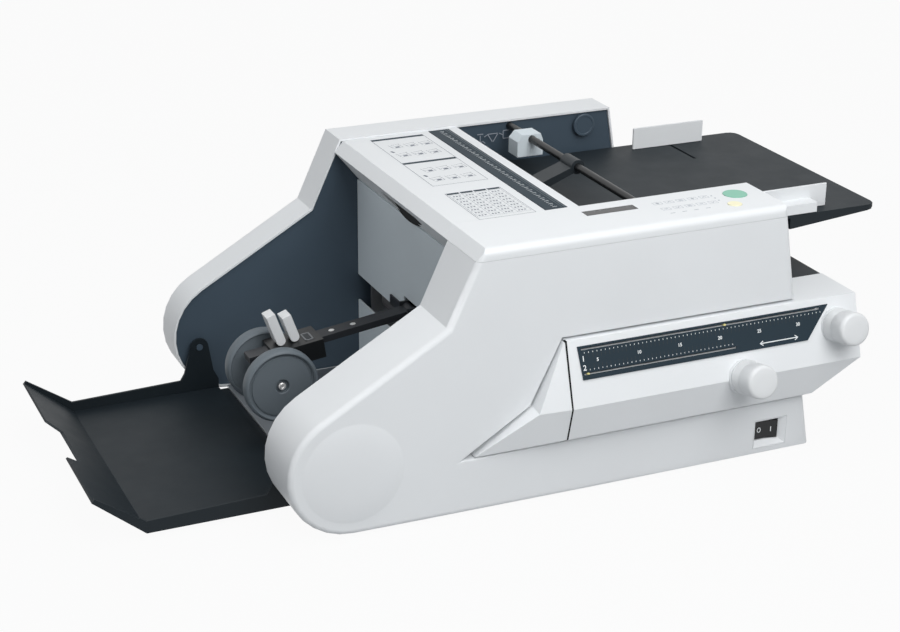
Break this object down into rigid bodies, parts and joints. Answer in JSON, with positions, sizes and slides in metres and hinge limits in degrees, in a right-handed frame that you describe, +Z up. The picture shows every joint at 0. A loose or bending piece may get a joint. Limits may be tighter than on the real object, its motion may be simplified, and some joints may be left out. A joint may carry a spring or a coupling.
{
  "type": "paper folding machine",
  "caption": "Desk paper folder with sloped side covers, buckle fold plates set by knobs on a scale, a feed table, a folding delivery tray and a wheeled stacking arm.",
  "frame": {"origin": "under the middle of the machine's box, on the surface it stands on", "axes": "+X from the delivery tray to the feed table, +Y from the knob side to the far cover, +Z up"},
  "size_m": [0.938, 0.5252, 0.2995],
  "materials": {
    "white_cover": "smooth moulded plastic",
    "knob_white": "satin moulded plastic",
    "blue_grey_liner": "fine texture",
    "exit_grey": "smooth",
    "tray_black": "fine texture",
    "black_plastic": "smooth",
    "arm_grey": "satin",
    "scale_slate": "printed with plain ticks and numbers",
    "wheel_grey": "satin",
    "steel": "turned",
    "zinc_sheet": "zinc-plated sheet",
    "rubber": "dull",
    "roller_grey": "dull",
    "start_green": "smooth",
    "stop_yellow": "smooth",
    "pointer_yellow": "smooth",
    "display_smoke": "glossy"
  },
  "bodies": {
    "machine": {"front_cover": "white_cover", "rear_cover": "white_cover", "front_liner": "blue_grey_liner", "rear_liner": "blue_grey_liner", "mains_inlet": "black_plastic", "base_pan": "zinc_sheet", "foot_1": "rubber", "foot_2": "rubber", "foot_3": "rubber", "foot_4": "rubber", "side_frame_near": "zinc_sheet", "side_frame_far": "zinc_sheet", "exit_panel": "exit_grey", "exit_sill": "exit_grey", "control_panel": "white_cover", "display_window": "display_smoke", "switch_surround": "white_cover", "fold_plate_housing": "white_cover", "corner_fairing": "white_cover", "scale_plate": "scale_slate", "belt_upper": "rubber", "belt_lower": "rubber", "fold_plate_upper": "tray_black", "fold_plate_lower": "tray_black", "drive_motor": "zinc_sheet", "feed_table": "tray_black", "cross_shaft": "black_plastic", "arm_bracket": "arm_grey"},
    "lid_assembly": {"lid": "white_cover", "ruler_plate": "scale_slate"},
    "start": {"start_button": "start_green"},
    "stop": {"stop_button": "stop_yellow"},
    "rocker": {"power_rocker": "black_plastic"},
    "upper_stop": {"fold_stop_upper": "steel", "pointer_upper": "pointer_yellow"},
    "lower_stop": {"fold_stop_lower": "steel", "pointer_lower": "pointer_yellow"},
    "upper_knob": {"knob_upper": "knob_white", "knob_shaft_upper": "steel"},
    "lower_knob": {"knob_lower": "knob_white", "knob_shaft_lower": "steel"},
    "roller_1": {"fold_roller_1": "roller_grey"},
    "roller_2": {"fold_roller_2": "roller_grey"},
    "roller_3": {"fold_roller_3": "roller_grey"},
    "roller_4": {"fold_roller_4": "roller_grey"},
    "feed": {"feed_roller": "rubber"},
    "guide_near": {"side_guide_near": "white_cover"},
    "guide_far": {"side_guide_far": "white_cover"},
    "separator": {"separator_arm": "arm_grey"},
    "hold_down": {"hold_down_block": "exit_grey"},
    "tray": {"delivery_tray": "tray_black"},
    "arm": {"roller_arm": "arm_grey"},
    "carriage_assembly": {"carriage": "black_plastic", "wheel_axle": "steel"},
    "lever_1": {"pinch_lever_1": "knob_white"},
    "lever_2": {"pinch_lever_2": "knob_white"},
    "wheel_1": {"wheel_near": "wheel_grey"},
    "wheel_2": {"wheel_far": "wheel_grey"}
  },
  "joints": [
    {"name": "lid_hinge", "type": "hinge", "parent": "machine", "child": "lid_assembly", "pos_m": [0.075, 0.04423, 0.291], "axis": [0, 1, 0], "range_deg": [0, 60]},
    {"name": "start_press", "type": "slide", "parent": "machine", "child": "start", "axis": [0, 0, -1], "range_m": [0, 0.001], "stiffness_N_per_m": 400},
    {"name": "stop_press", "type": "slide", "parent": "machine", "child": "stop", "axis": [0, 0, -1], "range_m": [0, 0.001], "stiffness_N_per_m": 400},
    {"name": "power_tilt", "type": "hinge", "parent": "machine", "child": "rocker", "pos_m": [0.2845, -0.18637, 0.029], "axis": [0, 0, 1], "range_deg": [0, 16]},
    {"name": "upper_stop_slide", "type": "slide", "parent": "machine", "child": "upper_stop", "axis": [1, 0, 0], "range_m": [-0.165, 0.105]},
    {"name": "upper_knob_turn", "type": "hinge", "parent": "machine", "child": "upper_knob", "pos_m": [0.355, -0.20837, 0.153], "axis": [0, -0.9781, 0.2079], "range_deg": [-889, 1395]},
    {"name": "lower_stop_slide", "type": "slide", "parent": "machine", "child": "lower_stop", "axis": [1, 0, 0], "range_m": [0, 0.17]},
    {"name": "lower_knob_turn", "type": "hinge", "parent": "machine", "child": "lower_knob", "pos_m": [0.232, -0.22087, 0.116], "axis": [0, -0.9781, 0.2079], "range_deg": [-1437, 0]},
    {"name": "roller_1_spin", "type": "hinge", "parent": "machine", "child": "roller_1", "pos_m": [-0.011, 0.04423, 0.194], "axis": [0, 1, 0], "continuous": true},
    {"name": "roller_2_spin", "type": "hinge", "parent": "machine", "child": "roller_2", "pos_m": [-0.011, 0.04423, 0.161], "axis": [0, 1, 0], "continuous": true},
    {"name": "roller_3_spin", "type": "hinge", "parent": "machine", "child": "roller_3", "pos_m": [-0.011, 0.04423, 0.128], "axis": [0, 1, 0], "continuous": true},
    {"name": "roller_4_spin", "type": "hinge", "parent": "machine", "child": "roller_4", "pos_m": [-0.011, 0.04423, 0.095], "axis": [0, 1, 0], "continuous": true},
    {"name": "feed_roller_spin", "type": "hinge", "parent": "machine", "child": "feed", "pos_m": [0.067, 0.04423, 0.234], "axis": [0, 1, 0], "continuous": true},
    {"name": "near_guide_slide", "type": "slide", "parent": "machine", "child": "guide_near", "axis": [0, 1, 0], "range_m": [0, 0.07]},
    {"name": "far_guide_slide", "type": "slide", "parent": "machine", "child": "guide_far", "axis": [0, -1, 0], "range_m": [0, 0.07]},
    {"name": "separator_lift", "type": "hinge", "parent": "machine", "child": "separator", "pos_m": [0.151, 0.04423, 0.291], "axis": [0, 1, 0], "range_deg": [0, 7]},
    {"name": "hold_down_swing", "type": "hinge", "parent": "machine", "child": "hold_down", "pos_m": [0.151, 0.04423, 0.291], "axis": [0, 1, 0], "range_deg": [-20, 20]},
    {"name": "tray_fold", "type": "hinge", "parent": "machine", "child": "tray", "pos_m": [-0.258, 0.04423, 0.066], "axis": [0, 1, 0], "range_deg": [0, 95]},
    {"name": "arm_swing", "type": "hinge", "parent": "machine", "child": "arm", "pos_m": [-0.053, 0.04423, 0.14], "axis": [0, 1, 0], "range_deg": [-10, 30]},
    {"name": "carriage_slide", "type": "slide", "parent": "arm", "child": "carriage_assembly", "axis": [0.9907, 0, 0.1357], "range_m": [-0.015, 0.05]},
    {"name": "pinch_1", "type": "hinge", "parent": "carriage_assembly", "child": "lever_1", "pos_m": [-0.2117, 0.04423, 0.13068], "axis": [0, 1, 0], "range_deg": [0, 5], "stiffness_Nm_per_rad": 0.3},
    {"name": "pinch_2", "type": "hinge", "parent": "carriage_assembly", "child": "lever_2", "pos_m": [-0.19536, 0.04423, 0.13292], "axis": [0, -1, 0], "range_deg": [0, 5], "stiffness_Nm_per_rad": 0.3},
    {"name": "wheel_1_spin", "type": "hinge", "parent": "carriage_assembly", "child": "wheel_1", "pos_m": [-0.2215, 0.04423, 0.08946], "axis": [0, 1, 0], "continuous": true},
    {"name": "wheel_2_spin", "type": "hinge", "parent": "carriage_assembly", "child": "wheel_2", "pos_m": [-0.2215, 0.04423, 0.08946], "axis": [0, 1, 0], "continuous": true}
  ],
  "couplings": [
    {"joint": "upper_knob_turn", "follows": "upper_stop_slide", "rad_per_m": -147.06},
    {"joint": "lower_knob_turn", "follows": "lower_stop_slide", "rad_per_m": -147.06},
    {"joint": "roller_2_spin", "follows": "roller_1_spin", "ratio": -1},
    {"joint": "roller_3_spin", "follows": "roller_1_spin", "ratio": 1},
    {"joint": "roller_4_spin", "follows": "roller_1_spin", "ratio": -1},
    {"joint": "feed_roller_spin", "follows": "roller_1_spin", "ratio": 0.8175},
    {"joint": "far_guide_slide", "follows": "near_guide_slide", "ratio": 1}
  ]
}
